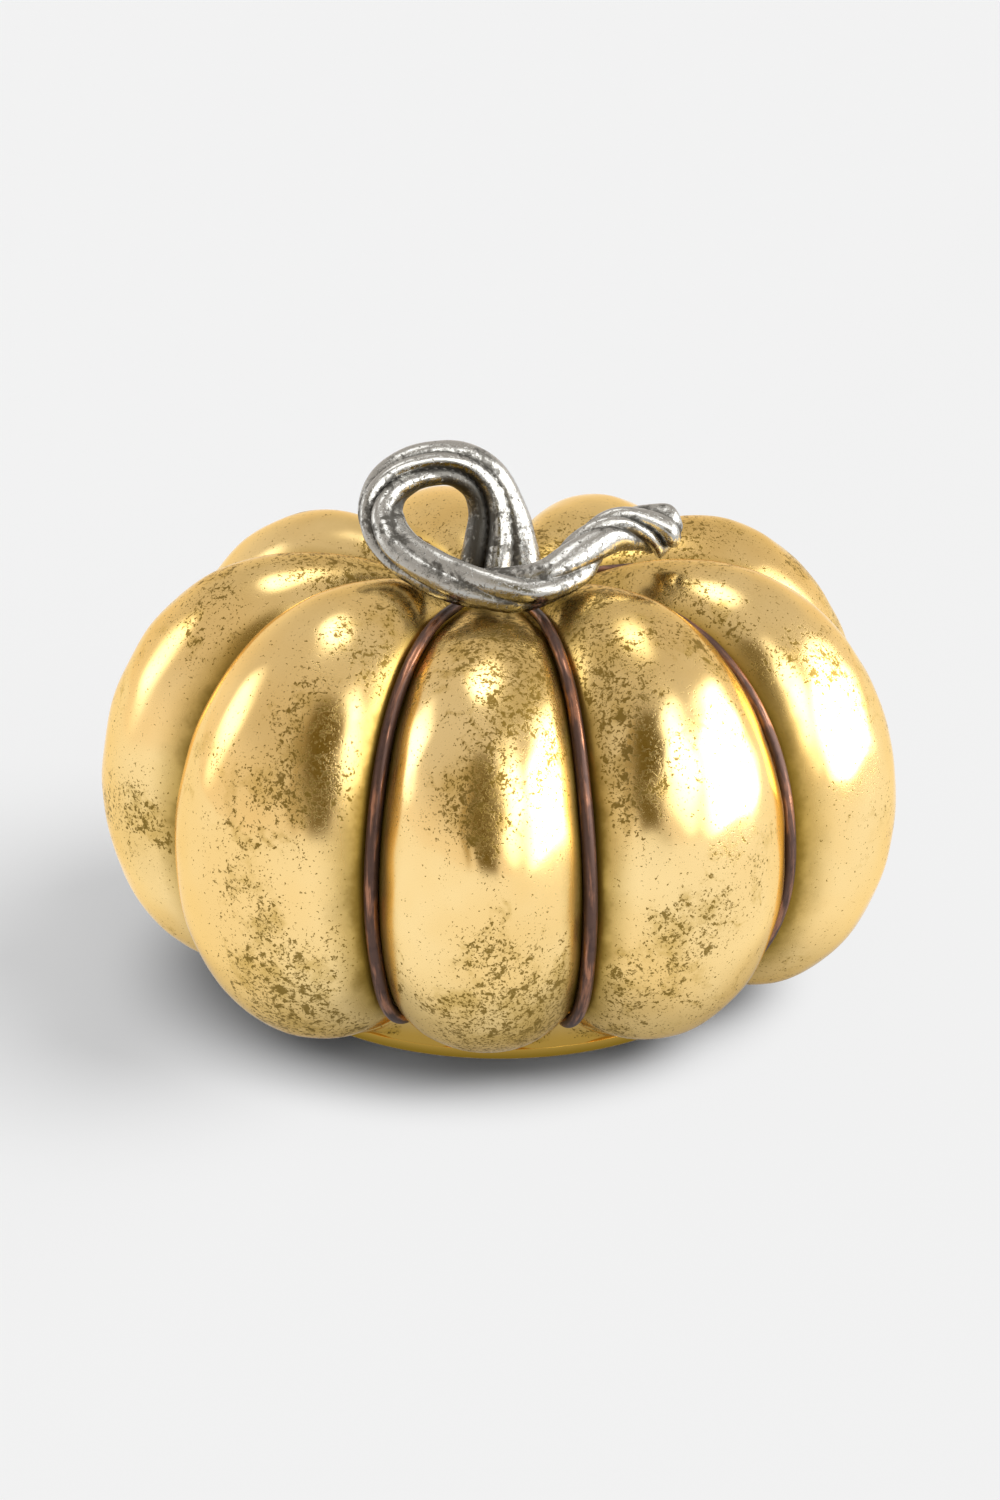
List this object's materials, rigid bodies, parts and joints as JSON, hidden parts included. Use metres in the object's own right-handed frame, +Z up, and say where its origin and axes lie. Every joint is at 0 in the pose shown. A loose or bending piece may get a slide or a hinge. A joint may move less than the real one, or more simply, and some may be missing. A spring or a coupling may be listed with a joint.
{
  "type": "pumpkin figure",
  "caption": "Gold pumpkin figure: a hollow lobed ceramic shell with copper wires in its grooves, a twisted looping cast metal stem and a flat round base.",
  "frame": {"origin": "centre of the base plate's underside, on the surface the figure stands on", "axes": "+Z up along the figure's axis, -Y towards the front, where the stem crosses before its own root"},
  "size_m": [0.1794, 0.1775, 0.1252],
  "materials": {
    "gold_ceramic": "bright gold over ceramic, with brown and olive specks",
    "copper_wire": "aged copper with a dark brown patina",
    "stem_metal": "polished cast metal, dark in the flutes",
    "fixing_steel": "zinc plated",
    "sealing_washer": "matt red-brown"
  },
  "bodies": {
    "root": {"pumpkin_shell": "gold_ceramic", "base_plate": "gold_ceramic", "stem": "stem_metal", "stem_stud": "fixing_steel", "stem_nut": "fixing_steel", "steel_washer": "fixing_steel", "sealing_washer": "sealing_washer", "groove_wire_1": "copper_wire", "groove_wire_2": "copper_wire", "groove_wire_3": "copper_wire", "groove_wire_4": "copper_wire", "groove_wire_5": "copper_wire", "groove_wire_6": "copper_wire", "groove_wire_7": "copper_wire", "groove_wire_8": "copper_wire", "groove_wire_9": "copper_wire"}
  },
  "joints": []
}
